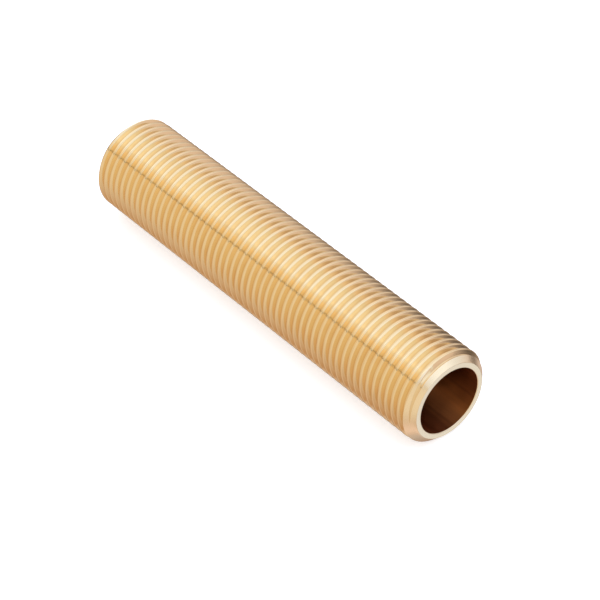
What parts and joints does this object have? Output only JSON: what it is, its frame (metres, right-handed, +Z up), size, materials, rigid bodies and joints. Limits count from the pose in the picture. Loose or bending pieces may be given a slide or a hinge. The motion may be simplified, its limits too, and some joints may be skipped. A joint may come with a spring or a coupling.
{
  "type": "threaded pipe nipple",
  "caption": "Straight brass pipe nipple, threaded on the outside from end to end, with chamfered ends and a smooth through-bore.",
  "frame": {"origin": "middle of the bore's axis, halfway between the two end faces", "axes": "X along the bore; the two ends are alike, so either can be +X; +Z up, with the nipple lying on its side"},
  "size_m": [0.1, 0.0208, 0.0208],
  "materials": {
    "brass": "machined, bright"
  },
  "bodies": {
    "root": {"threaded_nipple": "brass"}
  },
  "joints": []
}
